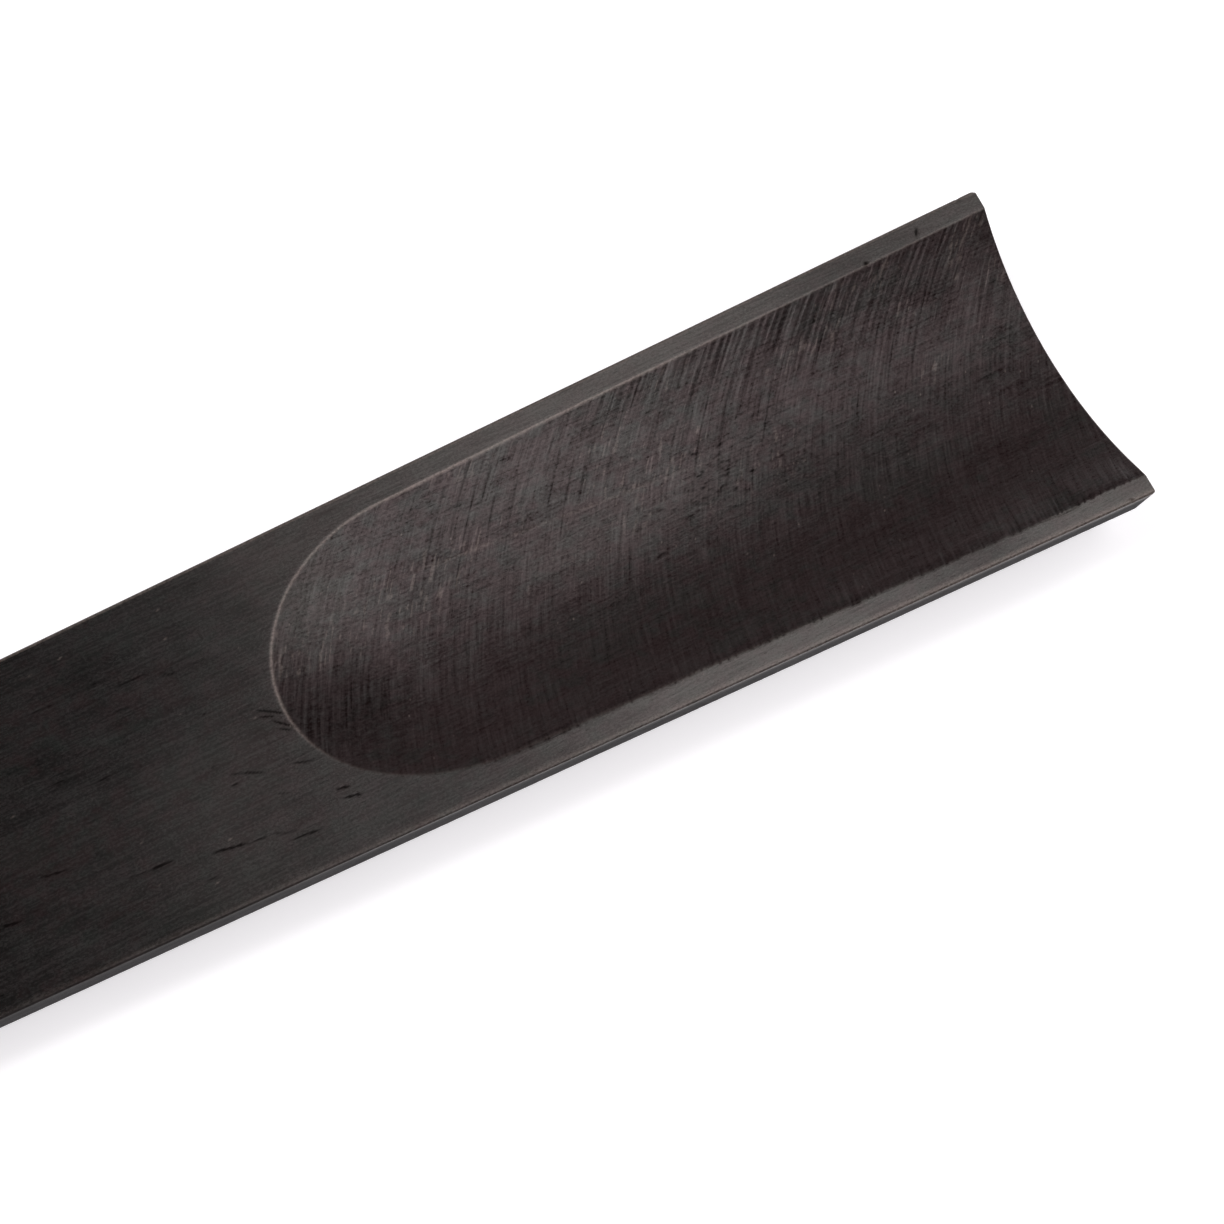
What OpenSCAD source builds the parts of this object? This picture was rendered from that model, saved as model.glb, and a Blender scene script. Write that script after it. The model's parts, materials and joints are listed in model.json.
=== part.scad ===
// Violin fingerboard: one tapered board of ebony, arched on its playing side and scooped out underneath.
// It lies on its arched playing side with the glue face up. +X points to the wide end, and the lowest
// line of the arch rests on the plane z = 0, so the glue face climbs gently towards the wide end.

/* [Board] */
// Length from the nut end to the wide end
board_l = 270; // [220:1:320]
// Width at the nut end
nut_w = 24; // [20:0.5:28]
// Width at the wide end, which hangs over the body of the violin
end_w = 42; // [38:0.5:50]
// Height of the straight sides at both ends
side_h = 5.5; // [4.5:0.5:7]
// Radius of the arched playing side
arch_r = 42; // [40:1:60]

/* [Scoop] */
// Length of the scoop in the glue face, in from the wide end
scoop_l = 102.5; // [80:0.5:130]
// Length of the rounded start of the scoop
start_l = 19.5; // [18:0.5:26]
// Depth of the scoop at the wide end
scoop_d = 4.8; // [4:0.1:5.5]
// Width of the rail beside the scoop, at the wide end
rail_end_w = 2.5; // [1.5:0.1:4]
// Width of the rail beside the scoop, where the rounded start ends
rail_start_w = 2.9; // [2:0.1:4]

/* [Hidden] */
$fn = 180;
ebony = [0.13, 0.12, 0.115];
past = 10; // how far a cutting shape runs past the face that it cuts

// Thickness down the middle, which is the side plus the height of the arch
nut_t = side_h + arch_height(nut_w / 2, arch_r);
end_t = side_h + arch_height(end_w / 2, arch_r);

// Slope of the glue face when the lowest line of the arch lies flat
rest_tilt = atan((end_t - nut_t) / board_l);
face_z = nut_t * cos(rest_tilt) + board_l / 2 * sin(rest_tilt);
face_x = -end_t * sin(rest_tilt) / 2;

// The scoop's straight trough runs from start_x to the wide end at one radius
start_x = board_l / 2 - scoop_l + start_l;
start_half_w = half_width(start_x) - rail_start_w;
end_half_w = end_w / 2 - rail_end_w;
scoop_r = (end_half_w * end_half_w + scoop_d * scoop_d) / (2 * scoop_d);
start_d = arch_height(start_half_w, scoop_r);
trough_l = scoop_l - start_l;
trough_tilt = atan((scoop_d - start_d) / trough_l);

// The rounded start turns the trough's own section up to the glue face, leaving the trough's line smoothly
start_rise = start_d * cos(trough_tilt) - start_l * sin(trough_tilt);
sweep_r = (start_l * start_l + start_d * start_d) / (2 * start_rise);
sweep_angle = 45; // more than the turn that reaches the glue face

// Height of an arc of radius r over half its chord
function arch_height(half_chord, r) = r - sqrt(r * r - half_chord * half_chord);

// Half the board's width at x, measured from the middle of its length
function half_width(x) = (nut_w + (end_w - nut_w) * (x / board_l + 0.5)) / 2;

// Places its children, drawn from the middle of the glue face with +Z out of it, on the resting board
module on_glue_face() {
    translate([face_x, 0, face_z])
        rotate([0, -rest_tilt, 0])
            children();
}

// The plan of the board, seen square to the glue face
module plan() {
    polygon([
        [-board_l / 2, -nut_w / 2],
        [board_l / 2, -end_w / 2],
        [board_l / 2, end_w / 2],
        [-board_l / 2, nut_w / 2]
    ]);
}

// The tapered block under the glue face, with square ends and upright sides
module tapered_block() {
    on_glue_face()
        translate([0, 0, -end_t - past])
            linear_extrude(end_t + past)
                plan();
}

// The round bar whose lower side is the arched playing surface
module arch_bar() {
    translate([0, 0, arch_r])
        rotate([0, 90, 0])
            cylinder(h = board_l + 2 * past, r = arch_r, center = true);
}

// Places its children, drawn from the lowest point of the trough's section at start_x, along the trough
module along_trough() {
    translate([start_x, 0, -start_d])
        rotate([0, trough_tilt, 0])
            children();
}

// The straight part of the scoop, which deepens towards the wide end and runs out through it
module trough() {
    along_trough()
        translate([0, 0, scoop_r])
            rotate([0, 90, 0])
                cylinder(h = trough_l + past, r = scoop_r);
}

// The rounded start of the scoop: the trough's section turned about a line across the board
module rounded_start() {
    along_trough()
        translate([0, 0, sweep_r])
            rotate([90, 0, 0])
                rotate([0, 0, 270 - sweep_angle])
                    rotate_extrude(angle = sweep_angle)
                        intersection() {
                            translate([sweep_r - scoop_r, 0])
                                circle(r = scoop_r);
                            translate([0, -scoop_r])
                                square([sweep_r + past, 2 * scoop_r]);
                        }
}

// The one piece of ebony
module fingerboard() {
    color(ebony)
        difference() {
            intersection() {
                tapered_block();
                arch_bar();
            }
            on_glue_face() {
                trough();
                rounded_start();
            }
        }
}

fingerboard();
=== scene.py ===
"""Looks of the violin fingerboard: one board of raw ebony, lying on its arched playing side."""
import json
import math

import bpy
import numpy as np
from mathutils import Matrix, Vector


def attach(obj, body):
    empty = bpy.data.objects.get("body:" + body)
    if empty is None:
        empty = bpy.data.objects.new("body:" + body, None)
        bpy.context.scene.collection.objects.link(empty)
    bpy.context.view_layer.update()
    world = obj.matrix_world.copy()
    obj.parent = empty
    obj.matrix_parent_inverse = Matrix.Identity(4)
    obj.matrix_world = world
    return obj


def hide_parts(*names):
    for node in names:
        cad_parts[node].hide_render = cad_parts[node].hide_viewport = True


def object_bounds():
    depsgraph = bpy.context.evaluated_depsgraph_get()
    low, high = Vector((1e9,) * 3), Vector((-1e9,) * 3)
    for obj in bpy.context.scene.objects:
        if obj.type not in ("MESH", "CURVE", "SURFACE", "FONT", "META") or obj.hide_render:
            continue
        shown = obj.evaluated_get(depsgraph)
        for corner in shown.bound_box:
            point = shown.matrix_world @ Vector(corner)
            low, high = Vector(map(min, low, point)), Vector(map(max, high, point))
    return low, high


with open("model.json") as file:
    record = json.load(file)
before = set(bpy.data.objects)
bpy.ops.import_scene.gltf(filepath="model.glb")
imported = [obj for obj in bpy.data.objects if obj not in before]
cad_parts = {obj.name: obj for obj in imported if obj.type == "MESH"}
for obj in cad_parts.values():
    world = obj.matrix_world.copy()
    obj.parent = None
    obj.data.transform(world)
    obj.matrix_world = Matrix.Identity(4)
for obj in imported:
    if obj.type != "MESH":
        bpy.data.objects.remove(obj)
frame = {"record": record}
cad_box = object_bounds()

MM = 0.001

# The board as the CAD has it, in millimetres
NUT_W = 24.0
SIDE_H = 5.5
ARCH_R = 42.0
SCOOP_L = 102.5
START_L = 19.5
SCOOP_D = 4.8
RAIL_END_W = 2.5
RAIL_START_W = 2.9


# ---------------------------------------------------------------------------------------------
# The board's own frame: s along it from mid-length, t across it, n out of the glue face
# ---------------------------------------------------------------------------------------------

def glue_face_axis():
    """The direction that the glue face looks in."""
    for mount in frame["record"]["mounts"]:
        if mount["name"] == "glue_face":
            return mount["axis"]


low, high = [[value / MM for value in corner] for corner in cad_box]
axis = glue_face_axis()
TILT = math.atan2(-axis[0], axis[2])
COS_T, SIN_T = math.cos(TILT), math.sin(TILT)
END_T = high[2] / COS_T
BOARD_L = (high[0] - low[0] - END_T * SIN_T) / COS_T
END_W = high[1] - low[1]
FACE_X = low[0] + BOARD_L / 2 * COS_T
FACE_Z = high[2] - BOARD_L / 2 * SIN_T
WIDE_END = BOARD_L / 2
NUT_END = -BOARD_L / 2


def half_width(s):
    """Half the width of the board, which tapers evenly."""
    return (NUT_W + (END_W - NUT_W) * (s / BOARD_L + 0.5)) / 2


def arc_height(half_chord, radius):
    """Height of an arc over half its chord."""
    return radius - math.sqrt(radius * radius - half_chord * half_chord)


SCOOP_START = WIDE_END - SCOOP_L
START_X = SCOOP_START + START_L
START_HALF_W = half_width(START_X) - RAIL_START_W
END_HALF_W = END_W / 2 - RAIL_END_W
SCOOP_R = (END_HALF_W ** 2 + SCOOP_D ** 2) / (2 * SCOOP_D)
START_D = arc_height(START_HALF_W, SCOOP_R)
FALL = (SCOOP_D - START_D) / (SCOOP_L - START_L)
SWEEP_R = (START_L ** 2 + START_D ** 2) / (2 * (START_D - START_L * FALL) / math.hypot(1, FALL))


def to_metres(s, t, n):
    """Points of the board's own frame, in the row frame and in metres."""
    x = FACE_X + s * COS_T - n * SIN_T
    z = FACE_Z + s * SIN_T + n * COS_T
    return np.stack([x, t + 0 * x, z], axis=-1) * MM


# ---------------------------------------------------------------------------------------------
# Seeded noise
# ---------------------------------------------------------------------------------------------

GRID = 256      # the random values repeat after this many units


def smooth(low_edge, high_edge, x):
    """0 below low_edge, 1 above high_edge, and a soft step between them."""
    u = np.clip((x - low_edge) / (high_edge - low_edge), 0.0, 1.0)
    return u * u * (3 - 2 * u)


def noise(x, y, seed):
    """Smooth random relief between -1 and 1, with one random value for each unit of x and y.

    Places in millimetres are divided by the spacing of the relief, such as s / 5 for every 5 mm.
    """
    grid = np.random.default_rng(seed).uniform(-1, 1, (GRID, GRID))
    x0, y0 = np.floor(x), np.floor(y)
    fx, fy = x - x0, y - y0
    fx, fy = fx * fx * (3 - 2 * fx), fy * fy * (3 - 2 * fy)
    i0, j0 = x0.astype(int) % GRID, y0.astype(int) % GRID
    i1, j1 = (i0 + 1) % GRID, (j0 + 1) % GRID
    near = grid[i0, j0] * (1 - fx) + grid[i1, j0] * fx
    far = grid[i0, j1] * (1 - fx) + grid[i1, j1] * fx
    return near * (1 - fy) + far * fy


# ---------------------------------------------------------------------------------------------
# The scoop and the cutter's marks in it
# ---------------------------------------------------------------------------------------------

# The cutter wandered: distance in from the wide end, and how far the scoop sits to the far side
WANDER = [(0, 0.0), (18, 0.0), (45, 0.16), (62, 0.27), (88, 0.3), (96, 0.0), (103, -0.5), (120, -0.6)]
# The cutter's lines are arcs of one radius, about centres that lie this far across, past the near side
CUTTER_ARC_R = 76.0
CUTTER_ARC_T = -38.0

# The cutter's marks are drawn at random between limits, in millimetres: the gap to the next mark, how
# strong it is, and either its width and its reach from the rim, or where it begins and how long it is
GROOVES = {"gap": (0.75, 1.75), "strength": (0.3, 1.0), "width": (0.15, 0.32), "reach": (2.5, 9.5)}
SCRATCHES = {"gap": (0.7, 2.6), "strength": (0.3, 1.0), "begin": (-1.0, 5.0), "length": (4.0, 12.0)}
NIBBLES = {"gap": (0.35, 1.1), "strength": (0.1, 1.0), "width": (0.12, 0.22), "reach": (0.8, 6.0)}
SCRATCH_WIDTH = 0.12

# Depth or height of the cutter's marks
GROOVE_DEPTH = 0.062
SCRATCH_DEPTH = 0.024
NIBBLE_DEPTH = 0.085
LINE_HEIGHT = 0.013
RIDGE_HEIGHT = 0.035

# The little flecks that tore out: how many, and where their cloud lies and how wide it is
FLECKS = 60
FLECKS_IN_FROM_END, FLECKS_SPREAD_ALONG = 47, 4.2
FLECKS_ACROSS, FLECKS_SPREAD_ACROSS = 2.6, 2.2


def along_table(table, s):
    """Values of a table of (in from the wide end, value) at some places along the board."""
    places, values = zip(*table)
    return np.interp(WIDE_END - s, places, values)


def wander(s):
    """How far the cutter had wandered to the far side."""
    return along_table(WANDER, s)


def towards_far(t):
    """The cutter dug in on the far side and in the middle, and only rubbed on the near side."""
    return 0.3 + 0.7 * smooth(-10, -2, t)


def scoop_height(s, t):
    """Height of the scoop's clean surface over the glue face. It is above 0 outside the scoop."""
    bar = np.sqrt(SCOOP_R ** 2 - (t - wander(s)) ** 2)
    trough = SCOOP_R - START_D - (s - START_X) * FALL - bar
    back = START_X - s
    reach = SWEEP_R - SCOOP_R + bar
    sweep = SWEEP_R - START_D - np.sqrt(np.maximum(reach ** 2 - back ** 2, 0)) + back * FALL
    return np.where(s >= START_X, trough, sweep)


def scoop_half_width(s):
    """Half the width of the scoop where it meets the glue face, past its rounded start."""
    depth = START_D + (np.maximum(s, START_X) - START_X) * FALL
    return np.sqrt(SCOOP_R ** 2 - (SCOOP_R - depth) ** 2)


def cutter_phase(s, t):
    """Which of the cutter's arcs a point lies on, as a distance along the board."""
    ahead = t - CUTTER_ARC_T
    return s - (CUTTER_ARC_R - np.sqrt(CUTTER_ARC_R ** 2 - ahead ** 2))


def draw_marks(seed, first, count, limits):
    """Where a row of marks lies, and the other values drawn for each mark."""
    rng = np.random.default_rng(seed)
    drawn = {name: rng.uniform(*limit, count) for name, limit in limits.items()}
    return first + np.cumsum(drawn["gap"]), drawn


def neighbours(places, phase):
    """For each point, the numbers of the two marks that its arc lies between."""
    after = np.clip(np.searchsorted(places, phase), 1, len(places) - 1)
    return after - 1, after


def coarse_grooves(phase, in_from_far, from_start):
    """Depth of the coarse grooves that the cutter left, which start at the far rim."""
    places, drawn = draw_marks(7, -30, 150, GROOVES)
    depth = np.zeros_like(phase)
    for k in neighbours(places, phase):
        across = np.exp(-((phase - places[k]) / drawn["width"][k]) ** 2)
        reach = drawn["reach"][k]
        along = 1 - smooth(0.1 * reach, reach, in_from_far)
        depth += across * along * drawn["strength"][k]
    comb = noise(phase / 0.34, in_from_far / 5, 8) * (1 - smooth(5, 11, in_from_far))
    depth += 0.3 * comb
    towards_end = 0.15 + 0.85 * smooth(30, 72, from_start)
    last_bit = 1 - 0.55 * smooth(92, 99, from_start)
    under_rim = smooth(-0.1, 0.3, in_from_far)
    return GROOVE_DEPTH * depth * towards_end * last_bit * under_rim


def long_scratches(phase, in_from_far, from_start):
    """Depth of the thin, lone scratches that sweep far down from the far rim."""
    places, drawn = draw_marks(11, -30, 90, SCRATCHES)
    depth = np.zeros_like(phase)
    for k in neighbours(places, phase):
        across = np.exp(-((phase - places[k]) / SCRATCH_WIDTH) ** 2)
        begin = drawn["begin"][k]
        end = begin + drawn["length"][k]
        along = smooth(begin - 0.5, begin + 0.5, in_from_far)
        along *= 1 - smooth(end - 2.5, end, in_from_far)
        depth += across * along * drawn["strength"][k]
    broken = 0.55 + 0.45 * smooth(-0.4, 0.3, noise(phase / 2, in_from_far / 1.3, 12))
    return SCRATCH_DEPTH * depth * broken * smooth(14, 28, from_start)


def fine_lines(phase, t):
    """Relief of the cutter's fine lines, which run right across the scoop."""
    drift = 0.12 * noise(phase / 3, t / 4, 21)
    lines = noise((phase + drift) / 0.42, t / 7, 22)
    lines += 0.6 * noise((phase + drift) / 0.9, t / 11, 23)
    patches = 0.45 + 0.55 * smooth(-0.35, 0.5, noise(phase / 6, t / 3.2, 24))
    return LINE_HEIGHT * lines * patches * towards_far(t)


def near_rim_nibbles(phase, in_from_near):
    """Depth of the short ragged cuts where the cutter came out through the near rim."""
    places, drawn = draw_marks(31, -10, 220, NIBBLES)
    strength = drawn["strength"] ** 1.4
    depth = np.zeros_like(phase)
    for k in neighbours(places, phase):
        across = np.exp(-((phase - places[k]) / drawn["width"][k]) ** 2)
        reach = drawn["reach"][k]
        scratch = 0.55 * (1 - smooth(0.3 * reach, reach, in_from_near))
        tooth = 0.55 * (1 - smooth(0.0, 0.7, in_from_near))
        depth += across * strength[k] * (scratch + tooth)
    ragged = 0.02 * (1 + noise(phase / 0.3, 0 * phase, 33))
    ragged += 0.035 * (1 + noise(phase / 1.7, 0 * phase, 34))
    return NIBBLE_DEPTH * depth + ragged * (1 - smooth(0.2, 1.0, np.abs(in_from_near)))


def glints(phase, t):
    """Painted glints: short pale highlights on the crests between the cutter's lines, from 0 to 1."""
    crests = smooth(0.4, 0.85, noise(phase / 0.26, t / 0.9, 45))
    patches = smooth(0.0, 0.55, noise(phase / 6, t / 4, 46))
    return 0.5 * crests * patches * smooth(-3, 5, t)


def pass_ridge(s, t):
    """The faint ridge between two passes of the cutter, from the rounded start to mid-scoop."""
    in_from_end = WIDE_END - s
    line = 6.3 + 0.063 * (in_from_end - 60.7) + 0.06 * noise(s / 2, 0 * s, 41)
    lasts = smooth(40, 58, in_from_end) * (1 - smooth(82, 90, in_from_end))
    ragged = 0.6 + 0.4 * noise(s / 0.6, 0 * s, 42)
    return lasts * ragged * np.exp(-((t - line) / 0.16) ** 2)


def torn_grain(s, t):
    """Depth of the little flecks that tore out of the grain in the middle of the scoop."""
    rng = np.random.default_rng(51)
    depth = np.zeros_like(s)
    for _ in range(FLECKS):
        at_s = WIDE_END - rng.normal(FLECKS_IN_FROM_END, FLECKS_SPREAD_ALONG)
        at_t = rng.normal(FLECKS_ACROSS, FLECKS_SPREAD_ACROSS)
        long, wide = rng.uniform(0.25, 0.7), rng.uniform(0.08, 0.13)
        deep = rng.uniform(0.01, 0.04)
        slant = rng.uniform(-0.3, 0.3)
        rows, columns = near_window(s, t, at_s, at_t, 3 * long)
        ds, dt = s[rows, columns] - at_s, t[rows, columns] - at_t
        bend = dt - slant * ds
        depth[rows, columns] += deep * np.exp(-(ds / long) ** 2 - (bend / wide) ** 2)
    return depth


# ---------------------------------------------------------------------------------------------
# Small marks on the glue face and the rails
# ---------------------------------------------------------------------------------------------

# Short cracks: in from the wide end, across, length, depth, how far it leans across for each mm
CRACKS = [
    (103.9, 0.0, 2.2, 0.08, -0.6), (104.4, -0.35, 1.4, 0.06, -0.4), (103.0, -1.95, 2.0, 0.09, -0.85),
    (103.3, -2.4, 1.2, 0.06, -0.6), (106.6, -8.3, 1.2, 0.05, -0.4), (111.7, -2.7, 0.6, 0.05, 0.0),
    (108.3, -5.05, 1.9, 0.1, -0.45), (109.9, -4.4, 1.3, 0.05, -0.4), (110.5, -5.35, 0.6, 0.08, 0.0),
    (114.0, -11.0, 3.6, 0.09, -0.2), (111.2, -11.5, 2.2, 0.06, -0.1), (108.9, -11.8, 1.1, 0.05, -0.4),
    (120.7, -9.55, 2.4, 0.09, -0.06), (123.3, -9.35, 2.8, 0.05, -0.15), (130.6, -5.6, 2.8, 0.06, -0.15),
    (110.2, 2.75, 0.9, 0.06, -0.4), (111.4, 8.05, 1.1, 0.05, -0.3), (136.4, -8.3, 1.8, 0.08, -0.2),
    (103.4, -6.2, 2.0, 0.05, -0.3), (100.8, -10.5, 1.4, 0.07, -0.2), (100.3, -11.7, 1.8, 0.08, -0.2),
    (106.3, -13.2, 3.0, 0.06, -0.1), (125.0, 10.2, 5.0, 0.04, 0.0), (115.0, 9.1, 4.0, 0.04, 0.0),
    (127.0, 2.6, 3.5, 0.04, 0.0), (122.4, 1.0, 2.5, 0.04, 0.0), (117.0, -13.0, 1.4, 0.05, -0.1),
]
# Small nicks and pits: in from the wide end, across, length, width, slant, depth
NICKS = [
    (17.5, 18.1, 0.24, 0.2, 0.4, 0.24),
    (9.7, 19.1, 0.5, 0.13, 1.4, 0.22),
    (3.3, -20.55, 0.22, 0.16, 0.0, 0.2),
    (2.6, 20.7, 0.3, 0.16, 0.0, 0.2),
    (62.5, -19.2, 0.4, 0.12, 0.2, 0.05),
    (37.0, -19.6, 0.3, 0.1, -0.2, 0.05),
]
SEEDED_CRACKS = 150
PALE_SPECKS = 150
# The one pale fleck: in from the wide end, across
FLECK_AT = (6.7, 12.8)
RIPPLE_HEIGHT = 0.0022
FACE_SCRATCH_HEIGHT = 0.004


def near_window(s, t, at_s, at_t, reach):
    """The block of rows and columns of the grid that lies around one small mark."""
    rows = np.where(np.abs(s[:, 0] - at_s) < reach)[0]
    if len(rows) == 0:
        return slice(0, 0), slice(0, 0)
    middle = t[rows[len(rows) // 2]]
    columns = np.where(np.abs(middle - at_t) < reach)[0]
    if len(columns) == 0:
        return slice(0, 0), slice(0, 0)
    return slice(rows[0], rows[-1] + 1), slice(columns[0], columns[-1] + 1)


def crack_depth(s, t):
    """Depth of the short cracks, listed near the scoop and seeded elsewhere."""
    rng = np.random.default_rng(61)
    cracks = list(CRACKS)
    for _ in range(SEEDED_CRACKS):
        in_from_end = rng.uniform(104, 268)
        across = rng.uniform(-0.92, 0.92) * float(half_width(WIDE_END - in_from_end))
        cracks.append((in_from_end, across, rng.uniform(0.6, 2.6), rng.uniform(0.01, 0.03), -0.1))
    depth = np.zeros_like(s)
    for in_from_end, at_t, length, deep, lean in cracks:
        at_s = WIDE_END - in_from_end
        rows, columns = near_window(s, t, at_s, at_t, 0.7 * length + 0.5)
        ds = s[rows, columns] - at_s
        off = np.abs(t[rows, columns] - at_t - lean * ds)
        half_crack = 0.05 + 0.5 * max(deep - 0.05, 0.0)
        across = np.exp(-(np.maximum(off - half_crack, 0) / 0.05) ** 2)
        broken = 0.75 + 0.25 * noise(ds / 0.35 + 7 * at_t, 0 * ds, 62)
        along = np.exp(-(2 * ds / length) ** 4) * broken
        depth[rows, columns] = np.maximum(depth[rows, columns], deep * across * along)
    return depth


def nick_depth(s, t):
    """Depth of the small nicks and pits."""
    depth = np.zeros_like(s)
    for in_from_end, at_t, long, wide, slant, deep in NICKS:
        at_s = WIDE_END - in_from_end
        rows, columns = near_window(s, t, at_s, at_t, 4 * max(long, wide))
        ds, dt = s[rows, columns] - at_s, t[rows, columns] - at_t
        turn = math.atan(slant)
        along = ds * math.cos(turn) + dt * math.sin(turn)
        across = dt * math.cos(turn) - ds * math.sin(turn)
        depth[rows, columns] += deep * np.exp(-(along / long) ** 2 - (across / wide) ** 2)
    return depth


def pale_specks(s, t):
    """Specks of pale dust that are caught in the surface, and one pale fleck near the wide end."""
    rng = np.random.default_rng(65)
    specks = np.zeros_like(s)
    for _ in range(PALE_SPECKS):
        row = rng.integers(0, s.shape[0])
        column = rng.integers(3, s.shape[1] - 3)
        specks[row, column] = rng.uniform(0.2, 0.8)
    ds, dt = s - (WIDE_END - FLECK_AT[0]), t - FLECK_AT[1]
    fleck = np.exp(-((ds + 0.5 * dt) / 0.45) ** 2 - ((dt - 0.5 * ds) / 0.14) ** 2)
    return np.maximum(specks, fleck)


def planer_chatter(s, t):
    """Relief of the flat face: shallow ripples across it and hair-thin scratches along it."""
    ripple = noise((s + 0.25 * noise(s / 5, t / 6, 71)) / 0.42, t / 9, 72)
    patches = 0.35 + 0.65 * smooth(-0.4, 0.5, noise(s / 9, t / 5, 73))
    scratches = noise(s / 14, t / 0.2, 74) * smooth(0.0, 0.7, noise(s / 20, t / 3, 75))
    return RIPPLE_HEIGHT * ripple * patches + FACE_SCRATCH_HEIGHT * scratches


# ---------------------------------------------------------------------------------------------
# The grid that covers the top: rows along the board, columns across it
# ---------------------------------------------------------------------------------------------

EDGE_R = 0.28           # easing of the long edges
END_EDGE_R = 0.22       # easing of the edges round both ends
FAR_CORNER_R = 0.7      # wear of the upright corner at the wide end, on the far side
NEAR_CORNER_R = 0.45    # and on the near side
RIM_SOFT = 0.05         # how softly the scoop's rims are worn over
# Rows along the flat, the scoop's rounded start, its trough and the last millimetre
FLAT_ROWS, START_ROWS, TROUGH_ROWS, TIP_ROWS = 470, 176, 500, 12
# Columns across one rail, the scoop and the playing side, and rows down a side and round an edge
RAIL_COLUMNS = 16
SCOOP_COLUMNS = 190
ARCH_COLUMNS = 72
SIDE_ROWS = 12
EASE_STEPS = 5
SCRAPER_FLATS = 0.012   # unevenness of the playing side
SIDE_INSET = 0.01       # how far the middle of the saw marks lies inside the side
SAW_STROKES = 0.008     # depth of the upright marks of the saw
SAW_LINES = 0.006       # depth of its long lines
# The two rows of points that ease the lower edge: how far in from the side and up from the arch
LOWER_EDGE_IN = np.array([[0.12, 0.42]]) * EDGE_R
LOWER_EDGE_UP = np.array([[0.55, 0.14]]) * EDGE_R
# How deep each kind of mark is where the painted shade in it is fully dark
DARK_GROOVE, DARK_FLECK, DARK_SCRATCH, DARK_CRACK, DARK_NICK = 0.07, 0.04, 0.042, 0.045, 0.12


def stations():
    """Where the rows lie: close together over the scoop, most of all at both its ends."""
    fine_from = SCOOP_START - 3
    tip_from = WIDE_END - 1.2
    flat = np.linspace(NUT_END + END_EDGE_R, fine_from, FLAT_ROWS, endpoint=False)
    start = np.linspace(fine_from, START_X, START_ROWS, endpoint=False)
    trough = np.linspace(START_X, tip_from, TROUGH_ROWS, endpoint=False)
    tip = np.linspace(tip_from, WIDE_END - END_EDGE_R, TIP_ROWS)
    return np.concatenate([flat, start, trough, tip])


def column_places(s):
    """Where the columns of the top lie across the board at each row."""
    half = half_width(s)[:, None] - EDGE_R
    follow = np.maximum(s, START_X)
    middle = wander(follow)[:, None]
    rim = scoop_half_width(follow)[:, None] * (half_width(s) / half_width(follow))[:, None]
    to_rim = np.linspace(0, 1, RAIL_COLUMNS, endpoint=False)[None]
    rim_to_rim = np.linspace(-1, 1, SCOOP_COLUMNS)[None]
    from_rim = np.linspace(0, 1, RAIL_COLUMNS + 1)[None, 1:]
    near = -half + (middle - rim + half) * to_rim
    far = middle + rim + (half - middle - rim) * from_rim
    return np.concatenate([near, middle + rim * rim_to_rim, far], axis=1)


def corner_pullback(s, radius):
    """How far a side curves in at the wide end, where the upright corner is worn round."""
    into = np.clip(s - (WIDE_END - radius), 0, radius)
    return radius - np.sqrt(radius * radius - into * into)


def top_relief(s, t):
    """Height of the finished top over the glue face, and how it looks there, by name, with its painted
    shade and highlights.
    """
    clean = scoop_height(s, t)
    phase = cutter_phase(s, t)
    in_from_far = scoop_half_width(s) + wander(s) - t
    in_from_near = t - wander(s) + scoop_half_width(s)
    from_start = s - SCOOP_START
    grooves = coarse_grooves(phase, in_from_far, from_start)
    scratches = long_scratches(phase, in_from_far, from_start)
    nibbles = near_rim_nibbles(phase, in_from_near) * smooth(6, 22, from_start)
    ridge = pass_ridge(s, t)
    torn = torn_grain(s, t)
    cut = clean - grooves - scratches - nibbles - torn + fine_lines(phase, t) + RIDGE_HEIGHT * ridge
    cut += step_in_near_rail(s, t)
    cracks = crack_depth(s, t)
    nicks = nick_depth(s, t)
    flat = planer_chatter(s, t) - 0.7 * cracks - nicks
    height = 0.5 * (cut + flat - np.sqrt((cut - flat) ** 2 + RIM_SOFT ** 2))
    inside = smooth(-0.02, 0.06, nibbles - clean)
    # Painted shade in the grooves, ragged cuts, torn flecks and scratches, and in two darker places of the
    # scoop
    cut_painted_shade = (0.55 * grooves + 0.3 * nibbles) / DARK_GROOVE + torn / DARK_FLECK + scratches / DARK_SCRATCH
    cut_painted_shade = inside * np.maximum(np.clip(cut_painted_shade, 0, 1), scoop_shade_patches(s, t))
    # Painted shade in the cracks and nicks of the glue face
    flat_painted_shade = (1 - inside) * np.clip(cracks / DARK_CRACK + nicks / DARK_NICK, 0, 1)
    # Painted highlight along the scoop's rim, which is also a little worn, and painted glints on the crests
    pale = np.maximum(rim_scuff_and_highlight(s, t, clean), inside * glints(phase, t))
    looks = {
        "painted_shade": np.maximum(cut_painted_shade, flat_painted_shade),
        # Pale wear, specks of dust, and painted highlights on the rim, the crests and the cutter's ridge
        "worn_and_highlight": 0.9 * np.maximum(pale, pale_specks(s, t)) + 0.42 * ridge,
        # Dust, with painted sheen on the rails and painted highlights in the scoop
        "dust_and_highlight": (1 - inside) * rail_dust_and_sheen(s, t) + inside * scoop_dust_and_highlight(s, t),
        "inside": inside * (0.4 + 0.6 * towards_far(t)),
        "phase": phase,
    }
    return height, looks


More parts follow.
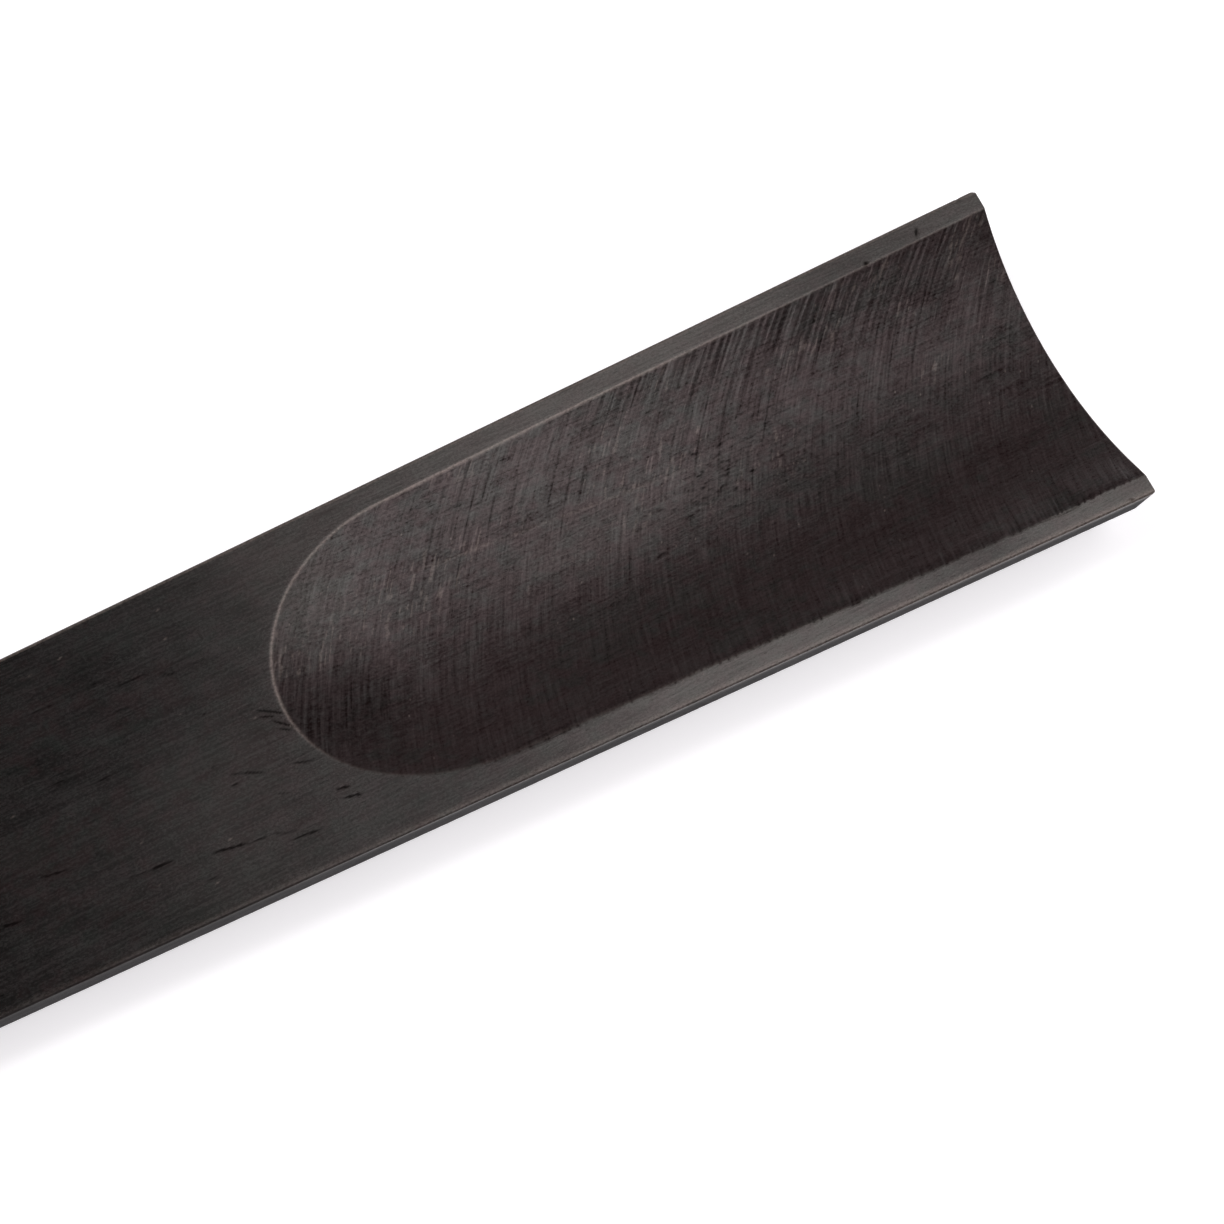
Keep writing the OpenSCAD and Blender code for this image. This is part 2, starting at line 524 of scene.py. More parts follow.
def rim_scuff_and_highlight(s, t, clean):
    """The pale line along the scoop's rim, a little wear and a painted highlight, brightest on the far side
    past mid-scoop.
    """
    in_from_end = WIDE_END - s
    to_far = 0.1 + 0.9 * smooth(-9, 3, t)
    bright = smooth(40, 50, in_from_end) * (1 - smooth(78, 90, in_from_end))
    to_start = 0.5 + 0.6 * smooth(24, 42, in_from_end) + 0.6 * bright
    return to_far * to_start * np.exp(-((clean + 0.02) / 0.055) ** 2)


def scoop_shade_patches(s, t):
    """Two darker places at the bottom of the scoop: painted shade on the near side by the rounded start,
    and a fainter darker patch down the middle by the wide end.
    """
    in_from_end = WIDE_END - s
    by_wide_end = 0.22 * np.exp(-(t / 4) ** 2) * (1 - smooth(34, 50, in_from_end))
    by_start = 0.5 * np.exp(-((t + 3.5) / 4.5) ** 2) * smooth(88, 94, in_from_end)
    return by_wide_end + by_start


# How dusty the glue face and the rails are, with painted sheen in the dust: in from the wide end, far side,
# near side
DUST_AND_SHEEN = [
    (0, 0.85, 1.3), (12, 0.7, 1.2), (22, 0.55, 0.6), (32, 1.0, 0.8), (45, 1.25, 1.25),
    (62, 1.2, 1.2), (74, 0.9, 0.65), (88, 0.62, 0.35), (97, 0.5, 0.33), (104, 0.22, 0.3),
    (114, 0.04, 0.3), (124, 0.0, 0.1), (140, 0.0, 0.0),
]
# How bright the painted highlight is on the near arris and the top of the near side: in from the wide end,
# highlight
NEAR_ARRIS_HIGHLIGHT = [(0, 0.8), (30, 0.75), (60, 0.55), (90, 0.35), (115, 0.2), (140, 0.12), (270, 0.12)]


def rail_dust_and_sheen(s, t):
    """Pale dust on the glue face, most of it on the rails, with painted sheen in it."""
    far = along_table([(place, far_side) for place, far_side, _ in DUST_AND_SHEEN], s)
    near = along_table([(place, near_side) for place, _, near_side in DUST_AND_SHEEN], s)
    share = smooth(-8, 8, t)
    return far * share + near * (1 - share)


def scoop_dust_and_highlight(s, t):
    """Pale dust and painted highlights in the scoop: in its rounded start, down its middle and up its far
    wall.
    """
    from_start = s - SCOOP_START
    in_from_end = WIDE_END - s
    in_start = 0.72 * np.exp(-((from_start - 7) / 8) ** 2) * smooth(1, 9, t)
    in_middle = 0.34 * np.exp(-((in_from_end - 62) / 15) ** 2 - ((t - 3.5) / 3.5) ** 2)
    on_far_wall = 0.3 * np.exp(-((in_from_end - 61) / 18) ** 2) * smooth(7, 12, t)
    return in_start + in_middle + on_far_wall


def step_in_near_rail(s, t):
    """The little jog near the wide end, where the cutter left the near rail wider."""
    in_from_end = WIDE_END - s
    wider = 0.2 * (1 - smooth(8.6, 9.8, in_from_end)) * smooth(1.0, 3.0, in_from_end)
    narrower = 0.14 * smooth(9.4, 10.4, in_from_end) * (1 - smooth(11, 17, in_from_end))
    return (wider - narrower) * smooth(-14, -18, t)


# ---------------------------------------------------------------------------------------------
# The closed mesh
# ---------------------------------------------------------------------------------------------

def arch_height(s, t):
    """Height in the board's own frame of the arched playing side."""
    z = ARCH_R - np.sqrt(ARCH_R ** 2 - t ** 2)
    return (z - FACE_Z - s * SIN_T) / COS_T


def side_points(s, sign, top_n):
    """The eased arris, the upright side and its lower edge, from the top down."""
    radius = FAR_CORNER_R if sign > 0 else NEAR_CORNER_R
    half = half_width(s)[:, None] - corner_pullback(s, radius)[:, None]
    turn = np.linspace(0, math.pi / 2, EASE_STEPS + 1)[None, 1:]
    eased_t = half - EDGE_R + EDGE_R * np.sin(turn)
    eased_n = top_n[:, None] - EDGE_R + EDGE_R * np.cos(turn)
    bottom = arch_height(s[:, None], half)
    down = np.linspace(0, 1, SIDE_ROWS + 1)[None, 1:]
    side_n = eased_n[:, -1:] + (bottom + EDGE_R - eased_n[:, -1:]) * down
    saw = SAW_STROKES * noise(s[:, None] / 0.7 + 3 * sign, side_n / 3, 81)
    saw += SAW_LINES * noise(s[:, None] / 11, side_n / 0.35 + 9 * sign, 82)
    side_t = half - SIDE_INSET + saw
    lower_t = half - LOWER_EDGE_IN
    lower_n = bottom + LOWER_EDGE_UP
    t = np.concatenate([eased_t, side_t, lower_t], axis=1) * sign
    n = np.concatenate([eased_n, side_n, lower_n], axis=1)
    return t, n


def arch_points(s):
    """The playing side, from the far side to the near side, with faint scraper flats."""
    half = half_width(s) - 0.8 * EDGE_R
    far = (half - corner_pullback(s, FAR_CORNER_R))[:, None]
    near = (half - corner_pullback(s, NEAR_CORNER_R))[:, None]
    share = np.linspace(1, 0, ARCH_COLUMNS)[None]
    t = far * share - near * (1 - share)
    scraped = SCRAPER_FLATS * (1 + noise(s[:, None] / 40, t / 2.3, 91))
    return t, arch_height(s[:, None], t) + scraped


def round_corners(s, t):
    """The columns of the top, drawn in near both sides where the upright corners are worn."""
    across = t / half_width(s)[:, None]
    t = t - corner_pullback(s, FAR_CORNER_R)[:, None] * smooth(0.8, 1.0, across)
    return t + corner_pullback(s, NEAR_CORNER_R)[:, None] * smooth(0.8, 1.0, -across)


def ring_looks(s, t, on_top, around):
    """Looks of every point of the rings, from those of the top and from which face it is on."""
    columns = t.shape[1]
    looks = {}
    for name, values in on_top.items():
        looks[name] = np.zeros((len(s), around))
        looks[name][:, :columns] = values
    near_highlight = along_table(NEAR_ARRIS_HIGHLIGHT, s)[:, None]
    down = np.linspace(1, 0, SIDE_ROWS, endpoint=False)[None]
    far_arris = slice(columns, columns + EASE_STEPS)
    near_arris = slice(-EASE_STEPS, None)
    near_side = slice(-EASE_STEPS - SIDE_ROWS, -EASE_STEPS)

    # Wear on the far arris, and a painted highlight on the near arris, down the top of the near side and
    # along the near rail's edge
    worn_and_highlight = np.zeros((len(s), around))
    worn_and_highlight[:, columns - 1:columns + EASE_STEPS] = 0.5
    worn_and_highlight[:, near_arris] = 0.8 * near_highlight
    worn_and_highlight[:, near_side] = 0.3 * near_highlight * (1 - smooth(0.12, 0.42, down))
    in_from_edge = t[:, :RAIL_COLUMNS] - t[:, :1]
    worn_and_highlight[:, :RAIL_COLUMNS] = near_highlight * np.exp(-(in_from_edge / 0.3) ** 2)
    looks["worn_and_highlight"] = np.maximum(looks["worn_and_highlight"], worn_and_highlight)

    # Sawn sides and ends, whose darker colour is partly painted shade; less so at the top of the near side,
    # under its painted highlight, and on the near arris only towards the nut
    sawn = np.ones((len(s), around))
    sawn[:, :columns] = 0
    sawn[:, far_arris] = 0
    sawn[:, near_arris] = 0.7 * smooth(95, 118, WIDE_END - s)[:, None]
    sawn[:, near_side] = 1 - 0.5 * near_highlight * (1 - smooth(0.05, 0.4, down))
    looks["sawn"] = sawn
    return looks


def board_rings():
    """Rings of points round the board with their looks, and how many columns are on top."""
    s = stations()
    t = round_corners(s, column_places(s))
    columns = t.shape[1]
    top, on_top = top_relief(np.repeat(s[:, None], columns, axis=1), t)
    far_t, far_n = side_points(s, 1, top[:, -1])
    near_t, near_n = side_points(s, -1, top[:, 0])
    arch_t, arch_n = arch_points(s)
    ring_t = np.concatenate([t, far_t, arch_t, near_t[:, ::-1]], axis=1)
    ring_n = np.concatenate([top, far_n, arch_n, near_n[:, ::-1]], axis=1)
    around = ring_t.shape[1]
    rings = ring_looks(s, t, on_top, around)
    rings.update(s=np.repeat(s[:, None], around, axis=1), t=ring_t, n=ring_n)
    return rings, columns


def eased_end(rings, at_wide_end):
    """Rings that turn the board's long faces over into the square end."""
    last, outward = (-1, 1) if at_wide_end else (0, -1)
    end = {name: values[last] for name, values in rings.items()}
    dt = np.roll(end["t"], -1) - np.roll(end["t"], 1)
    dn = np.roll(end["n"], -1) - np.roll(end["n"], 1)
    size = np.hypot(dt, dn)
    turn = np.linspace(0, math.pi / 2, EASE_STEPS + 1)[1:, None]
    if not at_wide_end:
        turn = turn[::-1]
    inset = END_EDGE_R * (1 - np.cos(turn))
    eased = {name: np.repeat(values[None], EASE_STEPS, axis=0) for name, values in end.items()}
    eased["s"] = end["s"] + outward * END_EDGE_R * np.sin(turn)
    eased["t"] = end["t"] + inset * (dn / size)
    eased["n"] = end["n"] - inset * (dt / size)
    eased["worn_and_highlight"] = np.maximum(eased["worn_and_highlight"], 0.5)
    return eased


def ring_faces(rows, around):
    """Four-sided faces between each ring and the next, and the points of the two end rings."""
    index = np.arange(rows * around).reshape(rows, around)
    onward = np.roll(index, -1, axis=1)
    quads = np.stack([index[:-1], index[1:], onward[1:], onward[:-1]], axis=-1)
    return quads.reshape(-1, 4).tolist(), index[0], index[-1]


def zipper(upper, upper_at, lower, lower_at):
    """Triangles between two rows of points of different counts, matched by where they lie."""
    faces = []
    i = j = 0
    while i < len(upper) - 1 or j < len(lower) - 1:
        step_upper = j == len(lower) - 1
        if not step_upper and i < len(upper) - 1:
            step_upper = upper_at[i + 1] <= lower_at[j + 1]
        if step_upper:
            faces.append((upper[i], lower[j], upper[i + 1]))
            i += 1
        else:
            faces.append((upper[i], lower[j], lower[j + 1]))
            j += 1
    return faces


def end_cap(points, ring, columns, start_index):
    """The square end: a grid between the two sides, zipped to the top row of the ring."""
    levels = EASE_STEPS + SIDE_ROWS + 2
    far = ring[columns:columns + levels]
    arch = ring[columns + levels:columns + levels + ARCH_COLUMNS]
    near = ring[columns + levels + ARCH_COLUMNS:][::-1]
    top = ring[:columns][::-1]
    share = np.linspace(0, 1, ARCH_COLUMNS)[1:-1, None]
    corner_n, foot_n = points[far[0]][2], points[far[-1]][2]
    settle_from, settle_by = 0.04, 0.92
    grid, fresh = [], []
    for level in range(levels):
        left, right = points[far[level]], points[near[level]]
        inner = left * (1 - share) + right * share
        over = np.interp(-inner[:, 1], -points[top][:, 1], points[top][:, 2])
        under = np.interp(-inner[:, 1], -points[arch][:, 1], points[arch][:, 2])
        settle = settle_from + settle_by * (corner_n - left[2]) / (corner_n - foot_n)
        inner[:, 2] = over * (1 - settle) + under * settle
        first = start_index + len(fresh)
        grid.append([far[level], *range(first, first + len(inner)), near[level]])
        fresh.extend(inner)
    faces = []
    for upper, lower in zip(grid, grid[1:] + [list(arch)]):
        for k in range(ARCH_COLUMNS - 1):
            faces.append((upper[k], lower[k], lower[k + 1], upper[k + 1]))
    row_points = [points[grid[0][0]], *fresh[:len(share)], points[grid[0][-1]]]
    faces += zipper(top, -points[top][:, 1], grid[0], [-point[1] for point in row_points])
    return fresh, faces


def board_mesh():
    """The whole board as one closed mesh, with its looks stored at its points."""
    rings, columns = board_rings()
    first = eased_end(rings, at_wide_end=False)
    last = eased_end(rings, at_wide_end=True)
    rings = {name: np.concatenate([first[name], rings[name], last[name]]) for name in rings}
    faces, nut_ring, wide_ring = ring_faces(*rings["s"].shape)
    round_board = np.stack([rings[name].ravel() for name in ("s", "t", "n")], axis=1)
    count = len(round_board)
    wide_points, wide_faces = end_cap(round_board, wide_ring, columns, count)
    nut_points, nut_faces = end_cap(round_board, nut_ring, columns, count + len(wide_points))
    faces += [tuple(reversed(face)) for face in wide_faces]
    faces += nut_faces
    points = np.concatenate([round_board, wide_points, nut_points])
    on_ends = np.zeros(len(points) - count)
    looks = {name: np.concatenate([values.ravel(), on_ends]) for name, values in rings.items()}
    looks["sawn"][count:] = 1
    end_grain = np.zeros(len(points))
    end_grain[count:] = 1
    mesh = bpy.data.meshes.new("fingerboard_looks")
    mesh.from_pydata(to_metres(*points.T).tolist(), [], faces)
    store_vector(mesh, "board", points)
    store_vector(mesh, "arcs", np.stack([looks["phase"], points[:, 1], looks["inside"]], axis=1))
    # Painted shade, wear with painted highlights and end grain; then dust with painted sheen, sawn faces
    # with painted shade, and end grain
    store_vector(mesh, "shade_highlight_end_grain", np.stack([looks["painted_shade"], looks["worn_and_highlight"], end_grain], axis=1))
    store_vector(mesh, "skin", np.stack([looks["dust_and_highlight"], looks["sawn"], end_grain], axis=1))
    mesh.update()
    mesh.polygons.foreach_set("use_smooth", np.ones(len(mesh.polygons), dtype=bool))
    return mesh


def store_vector(mesh, name, values):
    """Keeps three values for each point of the mesh, for the material to read."""
    attribute = mesh.attributes.new(name, "FLOAT_VECTOR", "POINT")
    attribute.data.foreach_set("vector", np.ascontiguousarray(values, dtype=np.float32).ravel())


# ---------------------------------------------------------------------------------------------
# Ebony
# ---------------------------------------------------------------------------------------------

class Graph:
    """A short way to write a material's nodes."""

    def __init__(self, material):
        material.use_nodes = True
        self.tree = material.node_tree
        self.tree.nodes.clear()

    def node(self, kind, settings=None, **inputs):
        made = self.tree.nodes.new(kind)
        for key, value in (settings or {}).items():
            setattr(made, key, value)
        for key, value in inputs.items():
            self.plug(value, made.inputs[key.replace("_", " ")])
        return made

    def plug(self, value, socket):
        if isinstance(value, bpy.types.NodeSocket):
            self.tree.links.new(value, socket)
        else:
            socket.default_value = value

    def math(self, operation, a, b=0.0, clamp=False):
        made = self.tree.nodes.new("ShaderNodeMath")
        made.operation = operation
        made.use_clamp = clamp
        self.plug(a, made.inputs[0])
        self.plug(b, made.inputs[1])
        return made.outputs[0]

    def attribute(self, name):
        return self.node("ShaderNodeAttribute", {"attribute_name": name}).outputs["Vector"]

    def split(self, vector):
        return self.node("ShaderNodeSeparateXYZ", Vector=vector).outputs

    def stretch(self, vector, scale):
        made = self.node("ShaderNodeVectorMath", {"operation": "MULTIPLY"})
        self.plug(vector, made.inputs[0])
        made.inputs[1].default_value = scale
        return made.outputs[0]

    def noise(self, vector, scale, detail=3.0, roughness=0.55):
        made = self.node("ShaderNodeTexNoise", Vector=self.stretch(vector, scale),
                         Scale=1.0, Detail=detail, Roughness=roughness)
        return made.outputs[0]

    def weighted(self, *parts):
        """The sum of some values, each times its weight."""
        total = 0.0
        for value, weight in parts:
            total = self.math("ADD", self.math("MULTIPLY", value, weight), total)
        return total

    def step(self, value, low_edge, high_edge, low=0.0, high=1.0):
        made = self.node("ShaderNodeMapRange", {"interpolation_type": "SMOOTHSTEP"}, Value=value)
        for socket, number in zip(made.inputs[1:5], (low_edge, high_edge, low, high)):
            socket.default_value = number
        return made.outputs[0]

    def mix(self, factor, a, b, blend="MIX"):
        made = self.tree.nodes.new("ShaderNodeMix")
        made.data_type = "RGBA"
        made.blend_type = blend
        self.plug(factor, made.inputs[0])
        self.plug(a, made.inputs[6])
        self.plug(b, made.inputs[7])
        return made.outputs[2]


# Colours of the wood
DARK_WOOD = (0.0036, 0.0029, 0.0028, 1)
PALE_WOOD = (0.0120, 0.0103, 0.0099, 1)
WARM_WOOD = (0.0138, 0.0068, 0.0070, 1)
COOL_WOOD = (0.0072, 0.0094, 0.0080, 1)
# Black of the pores, also used for the painted shade in cuts, cracks and nicks
PORE_AND_SHADE_BLACK = (0.0035, 0.0028, 0.0028, 1)
# Colour of the sawn sides and ends, darker partly as painted shade
SAWN_AND_SHADED_WOOD = (0.0040, 0.0026, 0.0030, 1)
END_WOOD = (0.0075, 0.0060, 0.0058, 1)
# Pale dust, which also carries painted sheen and highlights
PALE_DUST_AND_HIGHLIGHT = (0.070, 0.0615, 0.0575, 1)
# Pale of worn edges, also used for painted highlights and glints
PALE_WEAR_AND_HIGHLIGHT = (0.190, 0.152, 0.136, 1)
# Tints of its sheen
ROSY_SHEEN = (1.0, 0.86, 0.88, 1)
GREY_SHEEN = (0.95, 0.95, 0.93, 1)
SCOOP_SHEEN = (1.0, 0.79, 0.80, 1)
SAWN_SHEEN = (1.0, 0.86, 0.97, 1)
# Depth of the finest grain, in metres
GRAIN_DEPTH = 0.000028


def surface_of(g):
    """What the mesh says of each point: where it lies, how it is cut, worn and dusty, and where its painted
    shade and highlights go.
    """
    at = {"board": g.attribute("board"), "arcs": g.attribute("arcs")}
    at["painted_shade"], at["worn_and_highlight"], at["end_grain"] = g.split(g.attribute("shade_highlight_end_grain"))[:3]
    at["inside"] = g.split(at["arcs"])[2]
    at["dust_and_highlight"], at["sawn"] = g.split(g.attribute("skin"))[:2]
    return at


def add_grain(g, at):
    """Streaks, fibres and specks along the grain, and in the scoop the cutter's comb over them."""
    board = at["board"]
    streaks = g.noise(board, (0.022, 1.0, 1.0), 4.0)
    fibres = g.noise(board, (0.16, 3.2, 3.2), 4.0, 0.6)
    speckle = g.noise(board, (2.6, 4.2, 4.2), 3.0, 0.7)
    comb = g.noise(at["arcs"], (2.2, 0.16, 0.0), 3.0, 0.62)
    ripples = g.noise(board, (1.0, 0.14, 0.14), 2.0)
    patches = g.noise(board, (0.16, 0.3, 0.3), 4.0, 0.6)
    scooped = g.math("MULTIPLY", at["inside"], 2.5, clamp=True)
    combed = g.math("MULTIPLY", scooped, g.step(patches, 0.4, 0.6, 0.45, 1.0))
    flat_grain = g.weighted((fibres, 0.4), (speckle, 0.5), (ripples, 0.1))
    tool_grain = g.weighted((fibres, 0.2), (speckle, 0.35), (comb, 0.45))
    grain = g.weighted((flat_grain, 1.0), (g.math("SUBTRACT", tool_grain, flat_grain), combed))
    at.update(streaks=streaks, fibres=fibres, speckle=speckle)
    at.update(patches=patches, scooped=scooped, grain=grain)


def wood_colour(g, at):
    """The wood's own colour: near black, with a warm and a cool mottle."""
    board = at["board"]
    tone = g.weighted((at["streaks"], 0.3), (at["grain"], 0.9), (at["patches"], 0.3))
    tone = g.step(tone, 0.57, 0.93)
    colour = g.mix(tone, DARK_WOOD, PALE_WOOD)
    broad = g.noise(board, (0.05, 0.11, 0.11), 2.0)
    small = g.noise(board, (0.5, 0.7, 0.7), 2.0)
    warm = g.step(g.weighted((broad, 0.55), (small, 0.45)), 0.47, 0.6, 0.0, 0.55)
    warm = g.math("MAXIMUM", warm, g.math("MULTIPLY", at["scooped"], 0.7))
    colour = g.mix(warm, colour, WARM_WOOD)
    broad = g.noise(board, (0.06, 0.17, 0.17), 1.0)
    small = g.noise(board, (0.55, 0.8, 0.8), 2.0)
    cool = g.step(g.weighted((broad, 0.5), (small, 0.5)), 0.5, 0.62, 0.0, 0.45)
    return g.mix(cool, colour, COOL_WOOD)


def finished_colour(g, at, colour):
    """The wood's colour with its dust, pores, cuts, worn places and saw cuts, with painted shade in the
    cuts and on the sides, and painted highlights.
    """
    caught = g.step(g.weighted((at["speckle"], 0.5), (at["fibres"], 0.5)), 0.3, 0.7, 0.55, 1.0)
    # Dust, with painted sheen and highlights in it
    colour = g.mix(g.math("MULTIPLY", at["dust_and_highlight"], caught), colour, PALE_DUST_AND_HIGHLIGHT)
    pores = g.step(g.noise(at["board"], (0.5, 9.0, 9.0), 2.0, 0.4), 0.64, 0.72, 0.0, 0.7)
    colour = g.mix(pores, colour, PORE_AND_SHADE_BLACK)
    # Painted shade in the cuts, cracks and nicks
    colour = g.mix(g.math("MULTIPLY", at["painted_shade"], 0.8), colour, PORE_AND_SHADE_BLACK)
    # Pale wear, with painted highlights and glints
    speckled_worn_and_highlight = g.math("MULTIPLY", at["worn_and_highlight"], g.step(at["speckle"], 0.3, 0.7, 0.4, 1.0))
    colour = g.mix(g.math("MULTIPLY", speckled_worn_and_highlight, 0.9), colour, PALE_WEAR_AND_HIGHLIGHT)
    # Darker sawn faces, partly painted shade
    colour = g.mix(g.math("MULTIPLY", at["sawn"], 0.45), colour, SAWN_AND_SHADED_WOOD)
    colour = g.mix(g.math("MULTIPLY", at["end_grain"], 0.4), colour, END_WOOD)
    return colour, pores


def wood_gloss(g, at):
    """How rough the wood is, and how much of the light it throws back."""
    rough = g.step(at["grain"], 0.3, 0.7, 0.2, 0.34)
    rough = g.weighted((rough, 1.0), (at["scooped"], 0.05), (at["painted_shade"], 0.3), (at["sawn"], 0.3))
    uneven = g.weighted((at["inside"], 1.1), (0.45, 1.0))
    polish = g.math("MULTIPLY", g.math("SUBTRACT", at["grain"], 0.5), uneven)
    polish = g.weighted((polish, 1.3), (g.math("SUBTRACT", at["patches"], 0.5), 0.25))
    polish = g.math("MULTIPLY", polish, g.step(at["sawn"], 0.0, 1.0, 1.0, 0.3))
    clean_flat = g.math("SUBTRACT", 1.0, g.math("ADD", at["scooped"], at["dust_and_highlight"], clamp=True))
    polish = g.weighted((polish, 1.0), (0.3, 1.0), (clean_flat, -0.1))
    dulled = g.weighted((at["painted_shade"], 0.3), (at["sawn"], 0.14))
    return rough, g.math("SUBTRACT", polish, dulled, clamp=True)


def wood_sheen(g, at):
    """Tint of the light that the wood throws back, which is ruddy in the scoop."""
    mottle = g.step(g.noise(at["board"], (0.35, 0.55, 0.55), 3.0, 0.6), 0.36, 0.64)
    sheen = g.mix(mottle, ROSY_SHEEN, GREY_SHEEN)
    bare = g.weighted((1.0, 0.85), (mottle, -0.55), (at["dust_and_highlight"], -0.7))
    sheen = g.mix(g.math("MULTIPLY", at["scooped"], bare, clamp=True), sheen, SCOOP_SHEEN)
    return g.mix(g.math("MULTIPLY", at["sawn"], 0.7), sheen, SAWN_SHEEN)


def ebony():
    """Raw ebony: near black, streaked and pored along the grain, dusty where a tool went over it, with
    painted shade in its cuts and painted highlights on its rims and edges.
    """
    material = bpy.data.materials.new("raw_ebony")
    g = Graph(material)
    at = surface_of(g)
    add_grain(g, at)
    colour, pores = finished_colour(g, at, wood_colour(g, at))
    rough, gloss = wood_gloss(g, at)
    relief = g.weighted((at["grain"], 2.2), (pores, -0.4))
    bump = g.node("ShaderNodeBump", Height=relief, Strength=0.8, Distance=GRAIN_DEPTH)
    shader = g.node("ShaderNodeBsdfPrincipled", Base_Color=colour, Roughness=rough,
                    Specular_IOR_Level=gloss, Specular_Tint=wood_sheen(g, at), Normal=bump.outputs[0])
    g.node("ShaderNodeOutputMaterial", Surface=shader.outputs[0])
    return material


# ---------------------------------------------------------------------------------------------
# Studio
# ---------------------------------------------------------------------------------------------

TABLE_REACH = 3.0
TABLE_WHITE = (0.86, 0.842, 0.862, 1)
TABLE_GLOW = (1.0, 0.976, 1.0, 1)
# The table glows less round the board than far off, and changes between these distances in metres
GLOW_FROM, GLOW_TO = 0.25, 0.8
GLOW_ROUND_BOARD, GLOW_FAR_OFF = 0.44, 1.0
# The soft lights: name, azimuth and elevation in degrees, power in watts, size in metres
LIGHTS = [
    ("behind_left", 135, 42, 1.9, 0.45),
    ("behind_left_small", 150, 54, 2.05, 0.16),
    ("front_right", 300, 64, 1.9, 0.45),
    ("front_right_small", 300, 54, 0.75, 0.16),
    ("wide_end_side", 0, 64, 1.7, 0.45),
    ("behind", 90, 42, 0.4, 0.45),
    ("behind_right_low", 55, 18, 0.35, 0.45),
    ("wide_end_low", 25, 15, 0.9, 0.45),
    ("behind_right_high", 60, 64, 0.25, 0.45),
]
LIGHT_DISTANCE = 0.9
LIGHT_AIM = Vector((0.06, 0.0, 0.0))    # under the scoop
ROOM_LIGHT = 0.09
WHITE = (1.0, 1.0, 1.0, 1)
# The spot that the camera aims at, and how it stands to it: millimetres, metres, degrees
AIM_IN_FROM_END, AIM_ACROSS = 65.8, -6.07
CAMERA_DISTANCE = 0.26504
CAMERA_ELEVATION, CAMERA_AZIMUTH, CAMERA_ROLL = 67.42, -64.22, 36.97
LENS, SENSOR_WIDTH = 72.216, 36.0


def plain_floor():
    """A white table, far wider than the board, with a painted glow of its own that is dimmer round the
    board than far off.
    """
    mesh = bpy.data.meshes.new("floor")
    left, right = -TABLE_REACH, TABLE_REACH
    corners = [(left, left, 0), (right, left, 0), (right, right, 0), (left, right, 0)]
    mesh.from_pydata(corners, [], [(0, 1, 2, 3)])
    floor = bpy.data.objects.new("floor", mesh)
    bpy.context.scene.collection.objects.link(floor)
    material = bpy.data.materials.new("white_table")
    g = Graph(material)
    place = g.node("ShaderNodeTexCoord").outputs["Object"]
    away = g.node("ShaderNodeVectorMath", {"operation": "LENGTH"})
    g.plug(place, away.inputs[0])
    glow = g.step(away.outputs["Value"], GLOW_FROM, GLOW_TO, GLOW_ROUND_BOARD, GLOW_FAR_OFF)
    shader = g.node("ShaderNodeBsdfPrincipled", Base_Color=TABLE_WHITE, Roughness=0.8,
                    Emission_Color=TABLE_GLOW, Emission_Strength=glow)
    g.node("ShaderNodeOutputMaterial", Surface=shader.outputs[0])
    mesh.materials.append(material)


def soft_light(name, azimuth, elevation, power, size):
    """A square area light that faces the board. Azimuth 0 is +X, and 90 is +Y."""
    around, up = math.radians(azimuth), math.radians(elevation)
    towards = Vector((math.cos(up) * math.cos(around), math.cos(up) * math.sin(around), math.sin(up)))
    lamp = bpy.data.lights.new(name, "AREA")
    lamp.shape = "SQUARE"
    lamp.size = size
    lamp.energy = power
    holder = bpy.data.objects.new(name, lamp)
    holder.location = LIGHT_AIM + towards * LIGHT_DISTANCE
    holder.rotation_euler = towards.to_track_quat("Z", "Y").to_euler()
    bpy.context.scene.collection.objects.link(holder)


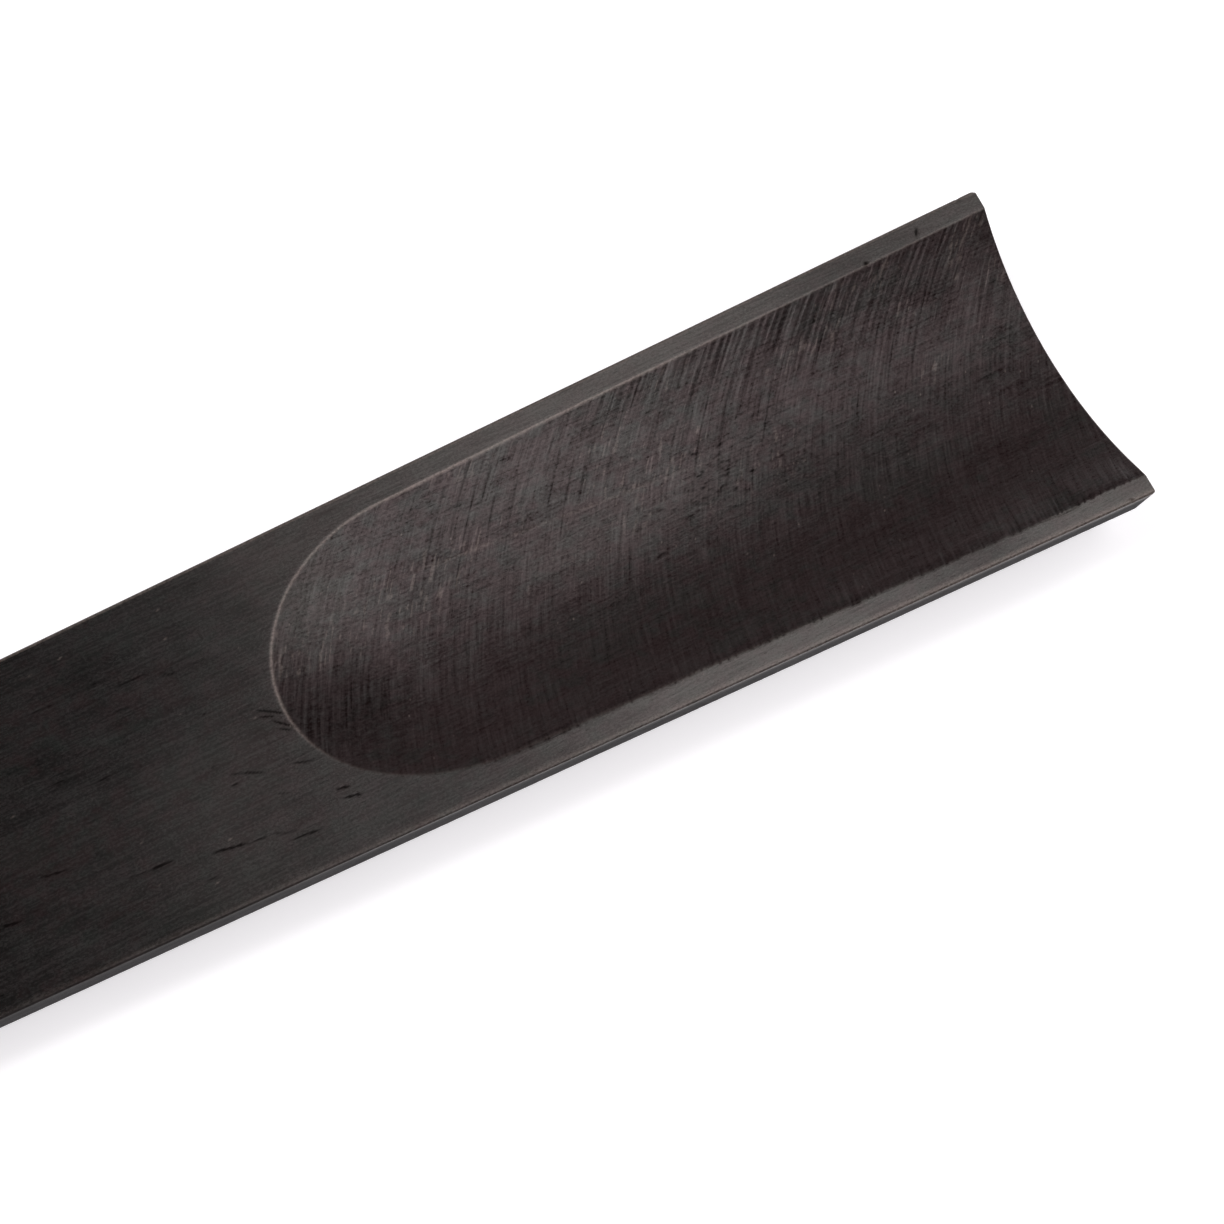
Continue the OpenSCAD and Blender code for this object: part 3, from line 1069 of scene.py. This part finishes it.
def dim_room():
    """A white backdrop that gives only a little light of its own."""
    world = bpy.data.worlds.new("room")
    world.use_nodes = True
    tree = world.node_tree
    light = tree.nodes["Background"]
    light.inputs["Color"].default_value = WHITE
    light.inputs["Strength"].default_value = ROOM_LIGHT
    backdrop = tree.nodes.new("ShaderNodeBackground")
    backdrop.inputs["Color"].default_value = WHITE
    ray = tree.nodes.new("ShaderNodeLightPath")
    choice = tree.nodes.new("ShaderNodeMixShader")
    tree.links.new(ray.outputs["Is Camera Ray"], choice.inputs[0])
    tree.links.new(light.outputs[0], choice.inputs[1])
    tree.links.new(backdrop.outputs[0], choice.inputs[2])
    tree.links.new(choice.outputs[0], tree.nodes["World Output"].inputs["Surface"])
    bpy.context.scene.world = world


def camera():
    """Looks down on the wide end from over the nut half, a little from the near side."""
    aim_s, aim_t = np.array(WIDE_END - AIM_IN_FROM_END), np.array(AIM_ACROSS)
    aim = Vector(to_metres(aim_s, aim_t, np.array(0.0)))
    elevation, azimuth = math.radians(CAMERA_ELEVATION), math.radians(CAMERA_AZIMUTH)
    roll = math.radians(CAMERA_ROLL)
    back = Vector((math.cos(elevation) * math.sin(azimuth),
                   -math.cos(elevation) * math.cos(azimuth),
                   math.sin(elevation)))
    right = Vector((0, 0, 1)).cross(back).normalized()
    up = back.cross(right)
    turned_right = right * math.cos(roll) + up * math.sin(roll)
    turned_up = up * math.cos(roll) - right * math.sin(roll)
    data = bpy.data.cameras.new("camera")
    data.lens = LENS
    data.sensor_width = SENSOR_WIDTH
    data.clip_start = 0.01
    view = bpy.data.objects.new("camera", data)
    rotation = Matrix((turned_right, turned_up, back)).transposed()
    view.matrix_world = Matrix.Translation(aim + back * CAMERA_DISTANCE) @ rotation.to_4x4()
    bpy.context.scene.collection.objects.link(view)
    bpy.context.scene.camera = view


def fingerboard():
    """The one piece, which takes the place of the CAD's fingerboard."""
    mesh = board_mesh()
    mesh.materials.append(ebony())
    board = bpy.data.objects.new("ebony_board", mesh)
    bpy.context.scene.collection.objects.link(board)
    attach(board, "root")
    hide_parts("fingerboard")


def studio():
    """The table, the lights and the room round the board."""
    plain_floor()
    for name, azimuth, elevation, power, size in LIGHTS:
        soft_light(name, azimuth, elevation, power, size)
    dim_room()
    bpy.context.scene.view_settings.view_transform = "Standard"


camera()
fingerboard()
studio()
